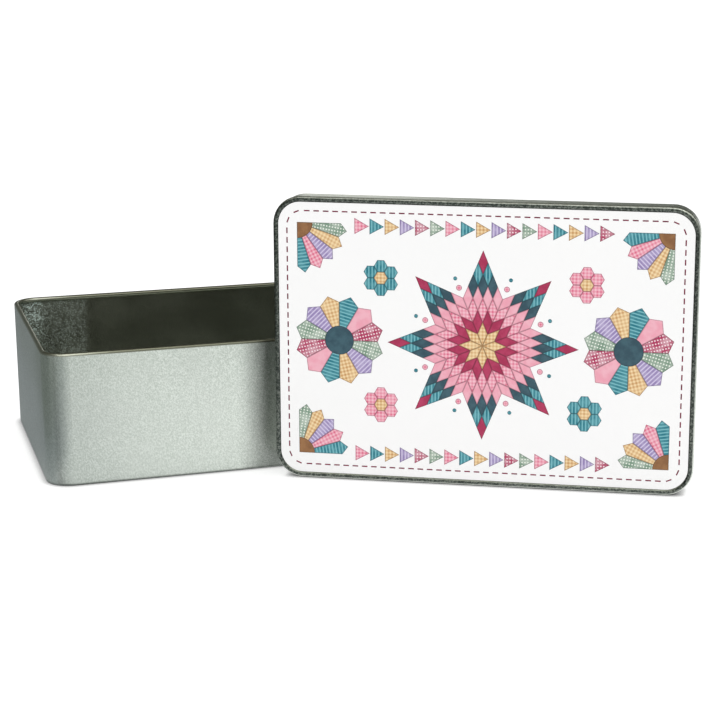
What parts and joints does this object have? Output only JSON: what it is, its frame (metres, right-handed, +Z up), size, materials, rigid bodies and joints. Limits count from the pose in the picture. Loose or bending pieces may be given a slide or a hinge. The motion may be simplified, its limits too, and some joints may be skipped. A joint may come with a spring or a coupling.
{
  "type": "sewing tin",
  "caption": "Oblong tinplate sewing tin with rounded corners, standing open, its slip lid with a recessed printed panel standing upright in front of it.",
  "frame": {"origin": "centre of the box's underside, in the plane that it stands on", "axes": "+X along the box's long side, +Y to its back, +Z up; the lid stands on the -Y side"},
  "size_m": [0.2759, 0.2289, 0.129],
  "materials": {
    "tinplate": "satin, speckled",
    "lid_tinplate": "satin, speckled",
    "print": "white coat, smooth",
    "adhesive": "matte"
  },
  "bodies": {
    "box": {"body_wall": "tinplate", "bottom_plate": "tinplate"},
    "lid": {"lid_shell": "lid_tinplate", "print_panel": "print", "adhesive_sheet": "adhesive"}
  },
  "joints": [
    {"name": "lid_lift", "type": "slide", "parent": "box", "child": "lid", "axis": [0, 0, 1], "range_m": [0, 0.15]}
  ]
}
